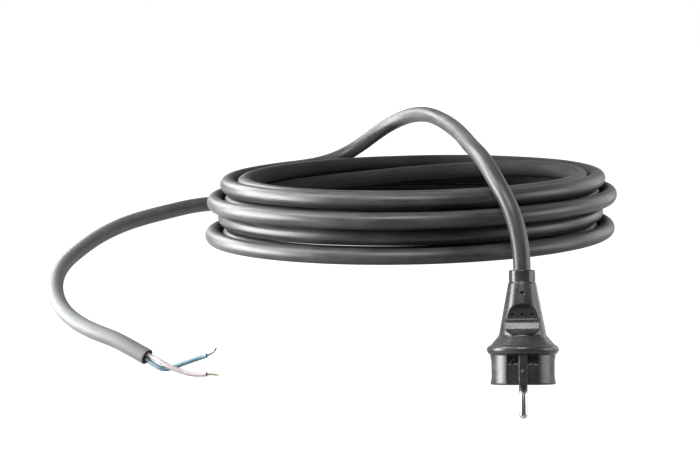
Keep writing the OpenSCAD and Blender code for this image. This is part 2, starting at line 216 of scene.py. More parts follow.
def evenly(line, step):
    """The same line with points evenly spaced, about step apart, and how far along it each one is."""
    along = np.concatenate([[0], np.cumsum(np.linalg.norm(np.diff(line, axis=0), axis=1))])
    at = np.linspace(0, along[-1], max(2, round(along[-1] / step) + 1))
    return np.stack([np.interp(at, along, line[:, k]) for k in range(3)], axis=1), at


def frames(line, reference):
    """Tangent, normal and side at each point of a line.

    The normal is the reference made square to the tangent, and the side is square to both.
    """
    tangent = unit(np.gradient(line, axis=0))
    normal = unit(reference - (reference * tangent).sum(1, keepdims=True) * tangent)
    return tangent, normal, np.cross(tangent, normal)


def lofted(rings, start=None, end=None):
    """Points and faces of a skin over rings, an array (rings, points round, 3).

    Neighbouring rings are joined by four-sided faces. An end that is given a point is closed by
    triangles from it. Faces point outwards where the rings turn right-handed about their travel.
    """
    count, sides = rings.shape[:2]
    points = rings.reshape(-1, 3)
    i, k = np.meshgrid(np.arange(count - 1), np.arange(sides), indexing="ij")
    near, far = i * sides, (i + 1) * sides
    k_next = (k + 1) % sides
    faces = np.stack([near + k, near + k_next, far + k_next, far + k], axis=-1).reshape(-1, 4).tolist()
    round_, after = np.arange(sides), (np.arange(sides) + 1) % sides
    for pole, ring, order in ((start, 0, -1), (end, (count - 1) * sides, 1)):
        if pole is not None:
            fan = np.stack([round_, after][::order] + [np.full(sides, len(points) - ring)], axis=1)
            faces += (fan + ring).tolist()
            points = np.vstack([points, pole])
    return points, faces


def turned(profile, start=None, end=None, sides=64, middle=(0.0, 0.0)):
    """Skin of a profile of (radius, height) turned round an upright axis at middle.

    start and end are the heights on the axis at which it closes.
    """
    angle = round_angles(sides)
    radius, height = np.array(profile, float).T
    rings = np.stack([
        middle[0] + radius[:, None] * np.cos(angle),
        middle[1] + radius[:, None] * np.sin(angle),
        height[:, None] + 0 * angle,
    ], axis=-1)
    poles = [None if z is None else np.array([*middle, z]) for z in (start, end)]
    return lofted(rings, *poles)


def add_piece(name, points, faces, material, attribute=None, stage=False):
    """A mesh object from points in millimetres, which rides on the object's one body unless stage is set.

    attribute is a vector for each point, which the material's pattern reads.
    """
    mesh = bpy.data.meshes.new(name)
    mesh.from_pydata((points * MM).tolist(), [], faces)
    mesh.polygons.foreach_set("use_smooth", np.ones(len(mesh.polygons), bool))
    mesh.set_sharp_from_angle(angle=SHARP_ANGLE)
    if attribute is not None:
        layer = mesh.attributes.new("own_place", "FLOAT_VECTOR", "POINT")
        layer.data.foreach_set("vector", attribute.astype(np.float32).ravel())
    mesh.materials.append(material)
    piece = bpy.data.objects.new(name, mesh)
    bpy.context.scene.collection.objects.link(piece)
    if stage:
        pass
    else:
        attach(piece, "root")
    return piece


# Colours and materials

# Settings of a Map Range node with level ends, and of a Mix node for colours with its inputs and output.
SMOOTH = {"interpolation_type": "SMOOTHSTEP"}
IN_COLOUR = {"data_type": "RGBA"}
MIX_SHARE, MIX_FROM, MIX_TO, MIXED = 0, 6, 7, 2
RUBBER_IOR = 1.52


def linear(code):
    """Linear RGBA of an sRGB hex value."""
    srgb = np.array([int(code[i:i + 2], 16) for i in (1, 3, 5)]) / 255
    rgb = np.where(srgb <= 0.04045, srgb / 12.92, ((srgb + 0.055) / 1.055) ** 2.4)
    return (*rgb.tolist(), 1.0)


def add_node(tree, kind, sockets=(), **settings):
    """Adds a shader node with its settings, and returns its outputs.

    sockets gives its inputs, in order or by name: a value, or another node's output to link to.
    """
    node = tree.nodes.new("ShaderNode" + kind)
    for name, value in settings.items():
        setattr(node, name, value)
    for name, value in sockets.items() if isinstance(sockets, dict) else enumerate(sockets):
        if isinstance(value, bpy.types.NodeSocket):
            tree.links.new(value, node.inputs[name])
        else:
            node.inputs[name].default_value = value
    return node.outputs


def new_material(name, slot_colour):
    """An empty material with its viewport colour, and its node tree."""
    material = bpy.data.materials.new(name)
    material.use_nodes = True
    material.diffuse_color = slot_colour
    material.node_tree.nodes.clear()
    return material, material.node_tree


def pattern_place(tree, own):
    """Where a pattern sits, in metres: in a piece's own place, such as along a cable, or in object space."""
    if own:
        return add_node(tree, "Attribute", attribute_name="own_place")["Vector"]
    return add_node(tree, "TexCoord")["Object"]


def extruded_rubber(name, colours, follows_cable=True):
    """Extruded chloroprene rubber: dark grey and semi-matt.

    The eye sees faint lines from the die along the cable, a thin uneven film of talcum powder and a few
    scuffs.
    The coil's inner sides are darkened as painted shade, and the free tail is paler, partly as painted light.
    """
    material, tree = new_material(name, colours.sheath)
    place = pattern_place(tree, follows_cable)
    # Lines of the die, 0.9 mm apart round the cable where the real ones are finer, and 120 mm long.
    lines = add_node(tree, "Mapping", {"Vector": place, "Scale": (8.0, 1100.0, 1100.0)})["Vector"]
    lines = add_node(tree, "TexNoise", {
        "Vector": lines, "Scale": 1.0, "Detail": 1.0, "Roughness": 0.5})["Fac"]
    # The film of talc comes and goes over 25 mm.
    film = add_node(tree, "Mapping", {"Vector": place, "Scale": (40.0, 110.0, 110.0)})["Vector"]
    film = add_node(tree, "TexNoise", {
        "Vector": film, "Scale": 1.0, "Detail": 3.0, "Roughness": 0.6})["Fac"]
    # Scuffs, 2 mm across and 8 mm long.
    scuffs = add_node(tree, "Mapping", {"Vector": place, "Scale": (120.0, 480.0, 480.0)})["Vector"]
    scuffs = add_node(tree, "TexNoise", {
        "Vector": scuffs, "Scale": 1.0, "Detail": 2.0, "Roughness": 0.6})["Fac"]
    # The grain of the extruded face is 0.6 mm, coarser than a real one so that it shows.
    grain = add_node(tree, "TexNoise", {
        "Vector": place, "Scale": 1800.0, "Detail": 2.0, "Roughness": 0.6})["Fac"]
    # The free stretch to the cut end is duller, and paler with talc, which no hands or knots rubbed off; the
    # paleness is also painted light that brightens the stretch.
    along = add_node(tree, "SeparateXYZ", (place,))["X"]
    talc_and_painted_light = add_node(tree, "MapRange", (along, *TALC_AND_PAINTED_LIGHT_FROM_TO, 0.0, 0.85), **SMOOTH)["Result"]
    colour = colours.sheath
    for share, laid_on in (
        (add_node(tree, "MapRange", (film, 0.35, 0.75, 0.0, 0.5), **SMOOTH)["Result"], colours.sheath_dust),
        (add_node(tree, "MapRange", (lines, 0.3, 0.7, 0.0, 0.22), **SMOOTH)["Result"], colours.sheath_dust),
        (add_node(tree, "MapRange", (scuffs, 0.68, 0.76, 0.0, 0.3), **SMOOTH)["Result"], colours.scuff),
        (talc_and_painted_light, colours.talc_and_painted_light),
    ):
        colour = add_node(tree, "Mix", {
            MIX_SHARE: share, MIX_FROM: colour, MIX_TO: laid_on}, **IN_COLOUR)[MIXED]
    rough = add_node(tree, "MapRange", (film, 0.3, 0.7, 0.34, 0.44), **SMOOTH)["Result"]
    duller = add_node(tree, "MapRange", (along, *DULL_FROM_TO, 0.0, 1.0), **SMOOTH)["Result"]
    rough = add_node(tree, "Math", (duller, 0.12, rough), operation="MULTIPLY_ADD")["Value"]
    # Painted shade: in the coil, on the sides that face its axis, the sheath is darkened towards the cut
    # face's black, and made duller there.
    off_axis = add_node(tree, "VectorMath", (
        pattern_place(tree, False), (1.0, 1.0, 0.0)), operation="MULTIPLY")["Vector"]
    outward = add_node(tree, "VectorMath", (off_axis,), operation="NORMALIZE")["Vector"]
    faces = add_node(tree, "NewGeometry")["Normal"]
    facing_out = add_node(tree, "VectorMath", (faces, outward), operation="DOT_PRODUCT")["Value"]
    facing_in = add_node(tree, "MapRange", (facing_out, -0.5, 0.3, 1.0, 0.0), **SMOOTH)["Result"]
    after_arch = add_node(tree, "MapRange", (along, *COIL_FROM, 0.0, 1.0), **SMOOTH)["Result"]
    before_tail = add_node(tree, "MapRange", (along, *COIL_TO, 1.0, 0.0), **SMOOTH)["Result"]
    wound = add_node(tree, "Math", (after_arch, before_tail), operation="MULTIPLY")["Value"]
    painted_coil_shade = add_node(tree, "Math", (facing_in, wound), operation="MULTIPLY")["Value"]
    # Painted shade: the colour is darkened towards the cut face's black on the coil's inner sides.
    colour = add_node(tree, "Mix", {
        MIX_SHARE: painted_coil_shade, MIX_FROM: colour, MIX_TO: colours.cut}, **IN_COLOUR)[MIXED]
    rough = add_node(tree, "Math", (painted_coil_shade, 0.5, rough), operation="MULTIPLY_ADD")["Value"]
    normal = add_node(tree, "Bump", {"Height": lines, "Distance": 0.00012, "Strength": 0.5})["Normal"]
    normal = add_node(tree, "Bump", {
        "Height": grain, "Distance": 0.00012, "Strength": 0.2, "Normal": normal})["Normal"]
    shader = add_node(tree, "BsdfPrincipled", {
        "Base Color": colour, "Roughness": rough, "Normal": normal, "IOR": RUBBER_IOR,
        "Specular IOR Level": 0.5,
    })
    add_node(tree, "OutputMaterial", {"Surface": shader["BSDF"]})
    return material


def cut_rubber(name, colours):
    """Rubber where a blade has cut it: black and quite dull, with the blade's fine marks."""
    material, tree = new_material(name, colours.cut)
    # The marks are 0.4 by 1 mm.
    marks = add_node(tree, "Mapping", {
        "Vector": pattern_place(tree, True), "Scale": (300.0, 2500.0, 900.0)})["Vector"]
    marks = add_node(tree, "TexNoise", {
        "Vector": marks, "Scale": 1.0, "Detail": 2.0, "Roughness": 0.6})["Fac"]
    share = add_node(tree, "MapRange", (marks, 0.35, 0.7, 0.0, 0.4), **SMOOTH)["Result"]
    colour = add_node(tree, "Mix", {
        MIX_SHARE: share, MIX_FROM: colours.cut, MIX_TO: colours.sheath}, **IN_COLOUR)[MIXED]
    shader = add_node(tree, "BsdfPrincipled", {
        "Base Color": colour,
        "Roughness": add_node(tree, "MapRange", (marks, 0.3, 0.7, 0.7, 0.85), **SMOOTH)["Result"],
        "Normal": add_node(tree, "Bump", {"Height": marks, "Distance": 0.0001, "Strength": 0.4})["Normal"],
        "IOR": RUBBER_IOR, "Specular IOR Level": 0.2,
    })
    add_node(tree, "OutputMaterial", {"Surface": shader["BSDF"]})
    return material


def moulded_rubber(name, colours):
    """Injection-moulded rubber: dark grey and satin, with a blasted mould's fine grain and specks of dust."""
    material, tree = new_material(name, colours.plug)
    place = pattern_place(tree, False)
    # The mould's grain is 0.35 mm, coarser than a real blasted surface so that it shows.
    grain = add_node(tree, "TexNoise", {
        "Vector": place, "Scale": 2800.0, "Detail": 2.0, "Roughness": 0.6})["Fac"]
    # Handling leaves paler patches 8 mm wide, and specks of dust are 1 mm.
    patches = add_node(tree, "TexNoise", {
        "Vector": place, "Scale": 120.0, "Detail": 3.0, "Roughness": 0.6})["Fac"]
    specks = add_node(tree, "TexNoise", {
        "Vector": place, "Scale": 900.0, "Detail": 1.0, "Roughness": 0.5})["Fac"]
    colour = colours.plug
    for share, laid_on in (
        (add_node(tree, "MapRange", (patches, 0.4, 0.75, 0.0, 0.45), **SMOOTH)["Result"], colours.plug_worn),
        (add_node(tree, "MapRange", (specks, 0.70, 0.76, 0.0, 0.5), **SMOOTH)["Result"], colours.scuff),
    ):
        colour = add_node(tree, "Mix", {
            MIX_SHARE: share, MIX_FROM: colour, MIX_TO: laid_on}, **IN_COLOUR)[MIXED]
    shader = add_node(tree, "BsdfPrincipled", {
        "Base Color": colour,
        "Roughness": add_node(tree, "MapRange", (patches, 0.3, 0.7, 0.23, 0.31), **SMOOTH)["Result"],
        "Normal": add_node(tree, "Bump", {"Height": grain, "Distance": 0.00015, "Strength": 0.3})["Normal"],
        "IOR": RUBBER_IOR, "Specular IOR Level": 0.5,
    })
    add_node(tree, "OutputMaterial", {"Surface": shader["BSDF"]})
    return material


def core_insulation(name, base, pale, follows_cable=True):
    """Extruded core insulation: smooth and slightly soft in gloss.

    It is paler where it was handled, and the twist of its wires shows faintly through it.
    """
    material, tree = new_material(name, base)
    place = pattern_place(tree, follows_cable)
    # Handling marks are 3 mm, and the marks of the twist run along the core, 0.5 mm wide.
    marks = add_node(tree, "Mapping", {"Vector": place, "Scale": (160.0, 400.0, 400.0)})["Vector"]
    marks = add_node(tree, "TexNoise", {
        "Vector": marks, "Scale": 1.0, "Detail": 3.0, "Roughness": 0.6})["Fac"]
    lines = add_node(tree, "Mapping", {"Vector": place, "Scale": (60.0, 2000.0, 2000.0)})["Vector"]
    lines = add_node(tree, "TexNoise", {
        "Vector": lines, "Scale": 1.0, "Detail": 1.0, "Roughness": 0.5})["Fac"]
    share = add_node(tree, "MapRange", (marks, 0.35, 0.7, 0.0, 0.75), **SMOOTH)["Result"]
    colour = add_node(tree, "Mix", {MIX_SHARE: share, MIX_FROM: base, MIX_TO: pale}, **IN_COLOUR)[MIXED]
    shader = add_node(tree, "BsdfPrincipled", {
        "Base Color": colour,
        "Roughness": add_node(tree, "MapRange", (marks, 0.3, 0.7, 0.38, 0.52), **SMOOTH)["Result"],
        "Normal": add_node(tree, "Bump", {"Height": lines, "Distance": 0.00008, "Strength": 0.5})["Normal"],
        "IOR": 1.5, "Subsurface Weight": 0.06, "Subsurface Scale": 0.0008,
    })
    add_node(tree, "OutputMaterial", {"Surface": shader["BSDF"]})
    return material


def bare_copper(name, colours):
    """Drawn copper wires, bare and a little tarnished: metal, with dull brown patches between bright ones."""
    material, tree = new_material(name, colours.copper)
    # Patches of tarnish are 1.4 mm.
    tarnish = add_node(tree, "TexNoise", {
        "Vector": pattern_place(tree, False), "Scale": 700.0, "Detail": 3.0, "Roughness": 0.6})["Fac"]
    share = add_node(tree, "MapRange", (tarnish, 0.4, 0.65, 0.0, 0.8), **SMOOTH)["Result"]
    colour = add_node(tree, "Mix", {
        MIX_SHARE: share, MIX_FROM: colours.copper, MIX_TO: colours.copper_tarnish}, **IN_COLOUR)[MIXED]
    shader = add_node(tree, "BsdfPrincipled", {
        "Base Color": colour, "Metallic": 1.0,
        "Roughness": add_node(tree, "MapRange", (tarnish, 0.35, 0.7, 0.28, 0.5), **SMOOTH)["Result"],
    })
    add_node(tree, "OutputMaterial", {"Surface": shader["BSDF"]})
    return material


def nickel_plate(name, colours):
    """Nickel plate on turned brass: a warm bright metal with the fine rings of the lathe and light wear."""
    material, tree = new_material(name, colours.nickel)
    place = pattern_place(tree, True)
    # Turning rings, 0.25 mm apart, which is coarser than real ones so that they show.
    rings = add_node(tree, "Mapping", {"Vector": place, "Scale": (60.0, 60.0, 4000.0)})["Vector"]
    rings = add_node(tree, "TexNoise", {
        "Vector": rings, "Scale": 1.0, "Detail": 1.0, "Roughness": 0.5})["Fac"]
    # Scratches from a socket's contacts run along the pin, 0.4 mm wide and 11 mm long.
    wear = add_node(tree, "Mapping", {"Vector": place, "Scale": (2500.0, 2500.0, 90.0)})["Vector"]
    wear = add_node(tree, "TexNoise", {
        "Vector": wear, "Scale": 1.0, "Detail": 2.0, "Roughness": 0.6})["Fac"]
    share = add_node(tree, "MapRange", (wear, 0.5, 0.75, 0.0, 0.6), **SMOOTH)["Result"]
    colour = add_node(tree, "Mix", {
        MIX_SHARE: share, MIX_FROM: colours.nickel, MIX_TO: colours.nickel_worn}, **IN_COLOUR)[MIXED]
    shader = add_node(tree, "BsdfPrincipled", {
        "Base Color": colour, "Metallic": 1.0,
        "Roughness": add_node(tree, "MapRange", (wear, 0.35, 0.75, 0.20, 0.27), **SMOOTH)["Result"],
        "Normal": add_node(tree, "Bump", {"Height": rings, "Distance": 0.00001, "Strength": 0.1})["Normal"],
    })
    add_node(tree, "OutputMaterial", {"Surface": shader["BSDF"]})
    return material


def filled_nylon(name, colours):
    """Glass-filled nylon: natural cream and dull, with flow marks of the moulding."""
    material, tree = new_material(name, colours.carrier)
    # Flow marks are 5 mm across and 2 mm high.
    flow = add_node(tree, "Mapping", {
        "Vector": pattern_place(tree, False), "Scale": (180.0, 180.0, 500.0)})["Vector"]
    flow = add_node(tree, "TexNoise", {
        "Vector": flow, "Scale": 1.0, "Detail": 3.0, "Roughness": 0.6})["Fac"]
    share = add_node(tree, "MapRange", (flow, 0.35, 0.7, 0.0, 0.5), **SMOOTH)["Result"]
    colour = add_node(tree, "Mix", {
        MIX_SHARE: share, MIX_FROM: colours.carrier, MIX_TO: colours.carrier_flow}, **IN_COLOUR)[MIXED]
    shader = add_node(tree, "BsdfPrincipled", {
        "Base Color": colour,
        "Roughness": add_node(tree, "MapRange", (flow, 0.3, 0.7, 0.5, 0.62), **SMOOTH)["Result"],
        "Normal": add_node(tree, "Bump", {"Height": flow, "Distance": 0.0001, "Strength": 0.2})["Normal"],
        "IOR": 1.53,
    })
    add_node(tree, "OutputMaterial", {"Surface": shader["BSDF"]})
    return material


def seen_directly(tree, place):
    """How white the studio shows to a ray: 1 to the camera's own.

    A ray off a glossy surface or through a clear one gets 0.4 at the back and the sides, which the
    backdrop goes round, and 0.1 in front, where the studio is dim.
    """
    path = add_node(tree, "LightPath")
    bounced = add_node(tree, "Math", (
        path["Is Glossy Ray"], path["Is Transmission Ray"]), operation="MAXIMUM")["Value"]
    to_back = add_node(tree, "SeparateXYZ", (place,))["Y"]
    backdrop = add_node(tree, "MapRange", (to_back, -0.5, 0.1, 0.1, 0.4), **SMOOTH)["Result"]
    shown = add_node(tree, "Math", (bounced, backdrop), operation="MULTIPLY")["Value"]
    return add_node(tree, "Math", (path["Is Camera Ray"], shown), operation="MAXIMUM")["Value"]


def studio_paint(name, colour, lit_share):
    """Matt studio paint, to the eye and in reflections mostly plain white.

    lit_share of it is lit, so that it keeps the shadows, and that share fades away from 0.5 to 1.6 m
    off the middle. Its own colour is what it sends on to other surfaces.
    """
    material, tree = new_material(name, colour)
    place = pattern_place(tree, False)
    seen = seen_directly(tree, place)
    shown = add_node(tree, "Mix", {MIX_SHARE: seen, MIX_FROM: colour, MIX_TO: WHITE}, **IN_COLOUR)[MIXED]
    lit = add_node(tree, "BsdfDiffuse", {"Color": shown})["BSDF"]
    plain = add_node(tree, "Emission", {"Color": WHITE, "Strength": 1.2})["Emission"]
    off = add_node(tree, "VectorMath", (place,), operation="LENGTH")["Value"]
    plain_share = add_node(tree, "MapRange", (off, 0.5, 1.6, 1.0 - lit_share, 1.0), **SMOOTH)["Result"]
    share = add_node(tree, "Math", (seen, plain_share), operation="MULTIPLY")["Value"]
    mix = add_node(tree, "MixShader", (share, lit, plain))["Shader"]
    add_node(tree, "OutputMaterial", {"Surface": mix})
    return material


# Cable


def cable_line(step):
    """The cable's centreline from 3 mm inside the plug's neck to the cut end, and how far along it is.

    It runs through the arch's points, then the winding's from its last turn back to its first, then
    the tail's, on one spline that leaves the neck straight up and arrives along the cut end.
    """
    turns = np.linspace(COIL_TURNS, 0, round(COIL_TURNS * LOOP_POINTS) + 1)
    wound = winding(turns)
    arch_joint = wound[0] + JOINT_LENGTH * heading(ARCH_AZIMUTH)
    tail_joint = wound[-1] - JOINT_LENGTH * heading(TAIL_AZIMUTH)
    points = np.vstack([
        NECK_TOP - IN_NECK * NECK_UP, NECK_TOP, ARCH_ROUTE[::-1], arch_joint, wound, tail_joint, TAIL_ROUTE,
        HOLLOW_START, CUT_END,
    ])
    return evenly(spline(points, NECK_UP, CUT_DIR, 0.5), step)


def cut_tube(line, along, reference, ahead, back, reach, shift):
    """Points, faces and pattern places of a tube that follows a line to its cut end, and its ring centres.

    Rings stand square to the line, each with its first point in the reference's direction, and the
    last ones, which make the cut's lip and bore, lie back millimetres before the line's end. reach is
    the radius of each ring, and shift how far ahead its points are moved. A point's pattern place is
    how far along the tube it lies and its two offsets across it, in metres.
    """
    _, normal, side = frames(line, reference)
    centres = np.vstack([line[:-1], line[-1] - back[:, None] * ahead])
    normal = np.vstack([normal[:-1], np.repeat(normal[-1:], len(back), 0)])[:, None]
    side = np.vstack([side[:-1], np.repeat(side[-1:], len(back), 0)])[:, None]
    angle = round_angles(shift.shape[1])
    around = np.cos(angle)[:, None] * normal + np.sin(angle)[:, None] * side
    rings = centres[:, None] + reach[..., None] * around
    rings += shift[..., None] * ahead
    points, faces = lofted(rings, centres[0], centres[-1])
    length = np.concatenate([along[:-1], along[-1] + back])
    place = np.stack([
        length[:, None] + 0 * angle, reach * np.cos(angle), reach * np.sin(angle),
    ], axis=-1).reshape(-1, 3)
    return points, faces, np.vstack([place, [[length[0], 0, 0], [length[-1], 0, 0]]]) * MM, centres


def cable_skin(diameter, lay_length, sides=32, step=3.2):
    """Points, faces and pattern places of the sheath, its centreline, and which faces are of the cut end.

    A ring's radius swells by 1.2% on two opposite sides, over the two cores, and that swelling turns
    once in a lay length. The lowest layer is flat where it rests. The cut end has a small lip, a
    slightly uneven face and a bore that runs back to where the cores fill the cable.
    """
    line, along = cable_line(step)
    radius, angle = diameter / 2, round_angles(sides)
    # The rings' first points face across in the plug, and upwards from 200 mm on.
    blend = ease((along - 60) / 140)[:, None]
    swell = 0.012 * ease((along - 8) / 30) * ease((along[-1] - along) / 30)
    reach = radius * (1 + swell[:, None] * np.cos(2 * angle - 2 * math.pi * along[:, None] / lay_length))
    # How far before the cut each ring of the lip and bore is, and its radius.
    back, lip = np.array([
        [0.7, radius], [0.35, radius - 0.05], [0.12, radius - 0.18], [0, radius - 0.4],
        [0, BORE_R + 0.45], [0.15, BORE_R + 0.12], [0.5, BORE_R], [3, BORE_R], [7, BORE_R],
        [HOLLOW_LENGTH - 0.1, BORE_R],
    ]).T
    reach = np.vstack([reach[:-1], np.repeat(lip[:, None], sides, 1)])
    uneven = 0.16 * np.cos(angle + 0.6) + 0.1 * np.cos(3 * angle + 1.0)
    near_cut = np.concatenate([np.zeros(len(line) - 1), ease(1 - back / 1.2)])
    points, faces, place, centres = cut_tube(
        line, along, (1 - blend) * ACROSS + blend * UP, CUT_DIR, back, reach, near_cut[:, None] * uneven)
    rests = (np.hypot(centres[:, 0], centres[:, 1]) < RESTS_WITHIN) & (centres[:, 2] > RESTS_ABOVE)
    rings = points[:-2].reshape(-1, sides, 3)
    rings[rests, :, 2] = np.maximum(rings[rests, :, 2], 0)
    # The faces come ring by ring, and those of the cut start at the lip's fourth ring. After them come
    # the fan that closes the tube in the plug, which is no cut, and the fan at the bore's bottom.
    is_cut = np.arange(len(faces)) >= (len(line) + 2) * sides
    is_cut[-2 * sides:-sides] = False
    return points, faces, place, line, is_cut


def core_skin(side, route, diameter, hole_r, ragged, flare):
    """Points, faces and pattern places of one core's insulation, from inside the sheath to its cut end.

    The tube's radius wavers by 2% along it and grows by the share flare over its last 1.2 mm. Its
    end has a small lip, steps back by up to ragged millimetres round it, and has a hole for the wires.
    """
    offset = side * CORE_OFF * CUT_SIDE
    ahead = unit(route[-1] - route[-2])
    points = np.vstack([HOLLOW_START + offset, CUT_END + offset, route])
    line, along = evenly(spline(points, CUT_DIR, ahead, 0.1), 0.5)
    radius, angle = diameter / 2, round_angles(28)
    waver = radius * (1 + 0.012 * np.sin(along / 3.1 + side) + 0.008 * np.sin(along / 1.3))
    back, lip = np.array([
        [0.25, radius], [0.08, radius - 0.04], [0, radius - 0.15], [0, hole_r + 0.1], [0.12, hole_r],
        [1.2, hole_r],
    ]).T
    from_cut = along[:-1] - along[-1]
    opened = np.concatenate([ease((from_cut + 1.2) / 1.2), [1, 1, 1, 0, 0, 0]])
    reach = np.concatenate([waver[:-1], lip]) * (1 + flare * opened)
    uneven = ragged * (0.5 * np.cos(angle - 0.9) + 0.3 * np.cos(2 * angle + 0.4) + 0.2 * np.cos(5 * angle))
    near_cut = np.concatenate([ease((from_cut + 2) / 2), np.ones(len(lip) - 1), [0]])
    return cut_tube(line, along, CUT_SIDE, ahead, back, reach[:, None], near_cut[:, None] * uneven)[:3]


def stranded_skin(start, before, bends, wire, turn_length, seed):
    """Points and faces of a bare conductor of 19 wires, one in the middle with rings of 6 and 12 round it.

    The conductor's line is a spline from inside the core, through its end, to the bends. Each wire
    keeps its place in the rings while they turn once in turn_length, drawn in a little towards the
    tip. Wires end up to 0.8 mm apart.
    """
    heading_in = unit(start - before)
    route = np.vstack([start - 1.1 * heading_in, start, start + bends])
    line, along = evenly(spline(route, heading_in, unit(bends[-1] - bends[-2]), 0.05), 0.25)
    tangent, normal, across = frames(line, UP)
    random = np.random.default_rng(seed)
    ring = np.repeat([0, 1, 2], [1, 6, 12])
    place = np.concatenate([[0], np.arange(6) / 6, (np.arange(12) + 0.5) / 12]) * 2 * math.pi
    # Wires of neighbouring rings lie 1.03 diameters apart, and 20% closer at the tip.
    off = 1.03 * wire * ring[:, None] * (1 - 0.2 * ease(along / along[-1]))
    turn = place[:, None] + 2 * math.pi * along / turn_length
    stop = along[-1] - random.uniform(0, 0.8, len(ring))[:, None]
    beyond = np.maximum(along - stop, 0)[..., None] * tangent
    outwards = np.cos(turn)[..., None] * normal + np.sin(turn)[..., None] * across
    centre = line + off[..., None] * outwards - beyond
    angle = round_angles(8)
    around = np.cos(angle)[:, None] * normal[:, None] + np.sin(angle)[:, None] * across[:, None]
    width = np.where(along < stop + 0.2, wire / 2, wire / 2 - 0.02)
    all_points, all_faces = [], []
    for rings in centre[:, :, None] + width[:, :, None, None] * around:
        points, faces = lofted(rings, rings[0].mean(0), rings[-1].mean(0))
        base = len(all_points) * len(points)
        all_faces += [[base + k for k in face] for face in faces]
        all_points.append(points)
    return np.vstack(all_points), all_faces


# Plug. Its shape is a distance to its skin, less than 0 in the rubber, which the functions below build up.


def joined(first, second, fillet=0.0):
    """Distance to two shapes together, with a round fillet.

    It is max(r, min(a, b)) less the length of (r - a, r - b), each held at 0, with r the fillet.
    """
    if not fillet:
        return np.minimum(first, second)
    return np.maximum(fillet, np.minimum(first, second)) - np.hypot(
        np.maximum(fillet - first, 0), np.maximum(fillet - second, 0))


def shared(first, second, fillet=0.0):
    """Distance to what two shapes share, with its edge rounded by the fillet."""
    return -joined(-first, -second, fillet)


def cut(body, tool, fillet=0.0):
    """Distance to a body with a tool's shape cut out, with the rim rounded by the fillet."""
    return shared(body, -tool, fillet)


def rounded_outline(corners, arc_step=12.0):
    """A closed outline of (across, height) corners with radii, each turned into an arc of short pieces."""
    points = np.array([corner[:2] for corner in corners], float)
    radii = np.array([corner[2] for corner in corners], float)
    nearly_straight = 1.56  # half the angle of a corner that needs no arc
    out = []
    for i, (here, radius) in enumerate(zip(points, radii)):
        back, on = unit(points[i - 1] - here), unit(points[(i + 1) % len(points)] - here)
        half = math.acos(np.clip(back @ on, -1, 1)) / 2
        if radius == 0 or half > nearly_straight:
            out.append(here)
            continue
        middle = here + unit(back + on) * radius / math.sin(half)
        begin, finish = (here + d * radius / math.tan(half) - middle for d in (back, on))
        start = math.atan2(begin[1], begin[0])
        sweep = (math.atan2(finish[1], finish[0]) - start + math.pi) % (2 * math.pi) - math.pi
        angle = start + sweep * np.linspace(0, 1, max(2, math.ceil(abs(math.degrees(sweep)) / arc_step) + 1))
        out += list(middle + radius * np.stack([np.cos(angle), np.sin(angle)], 1))
    return np.array(out)


def outline_distance(outline, across, height):
    """Distance to a closed outline, less than 0 inside.

    It is the least distance to the outline's straight pieces, with the sign from how often a level
    line crosses them.
    """
    least = np.full(np.broadcast(across, height).shape, np.inf)
    inside = np.zeros(least.shape, bool)
    for (x0, y0), (x1, y1) in zip(outline, np.roll(outline, -1, axis=0)):
        dx, dy = x1 - x0, y1 - y0
        t = np.clip(((across - x0) * dx + (height - y0) * dy) / (dx * dx + dy * dy), 0, 1)
        least = np.minimum(least, np.hypot(across - x0 - t * dx, height - y0 - t * dy))
        if dy:
            inside ^= ((height >= min(y0, y1)) & (height < max(y0, y1))
                       & (across < x0 + (height - y0) * dx / dy))
    return np.where(inside, -least, least)


# Half of the plug's outline as (radius, height, corner radius): sleeve, cone, shoulder, collar, skirt.
COLLAR_R, COLLAR_Z, COLLAR_EDGE = 17.9, -45.3, 2.6
PLUG_OUTLINE = rounded_outline([
    (-30, 0, 0), (7.5, 0, 0.7), (7.5, -7, 0.3), (7.9, -7.4, 0.5), (13.5, -37.2, 3.0), (18.3, -42.73, 0.0),
    *[(COLLAR_R + COLLAR_EDGE * math.cos(a), COLLAR_Z + COLLAR_EDGE * math.sin(a), 0.0)
      for a in map(math.radians, range(70, -61, -10))],
    (18.5, -47.9, 0.5), (18.5, FACE_Z, 0.9), (-30, FACE_Z, 0),
])
TABLE_STEP = 0.1
TABLE_R = np.arange(0, 30.2, TABLE_STEP)
TABLE_Z = np.arange(-67, 2.1, TABLE_STEP)
OUTLINE_TABLE = outline_distance(PLUG_OUTLINE, TABLE_R[:, None], TABLE_Z[None])
# The grip bar's outline, seen from the side, and the room in which one core runs down to its pin.
BAR_PROFILE = rounded_outline([
    (7.0, -27.6, 0), (8.9, -29.2, 2.0), (11.5, -29.8, 0.6), (13.0, -33.5, 2.0), (13.6, -37.2, 0),
    (7.0, -37.2, 0),
])
CORE_CHANNEL = np.array([
    [0.0, -27.9], [2.09, -36.7], [7.79, -43.95], [7.79, -47.05], [11.21, -47.05], [11.21, -43.95],
    [5.51, -36.7], [3.1, -27.9],
])
# Finger recess: half its width, the middle of its round top, its foot, the foot's corners and its floor.
RECESS_HALF, RECESS_TOP, RECESS_FOOT, RECESS_CORNER, RECESS_FLOOR = 9.8, -29.4, -34.2, 4.8, 7.6
# Grip bar: half its width, its foot and the foot's corners.
BAR_HALF, BAR_FOOT, BAR_CORNER = 10.1, -36.7, 5.2
# Holes of the mould's pins, one in the cone and three in the recess: place across, height and bottom.
MOULD_HOLE_R = 0.9
MOULD_HOLES = ((0.0, -13.3, 7.7), (0.0, -25.5, 6.3), (5.5, -25.5, 6.3))
# Guide groove: half its width, its floor and its top; its rib's half width and face; the bump on the rib.
GROOVE_HALF, GROOVE_FLOOR, GROOVE_TOP = 9, 15.5, -48.1
RIB_HALF, RIB_FACE = 2.4, 17.8
RIB_BUMP_Y, RIB_BUMP_Z, RIB_BUMP_R = 17.6, -57.5, 0.95
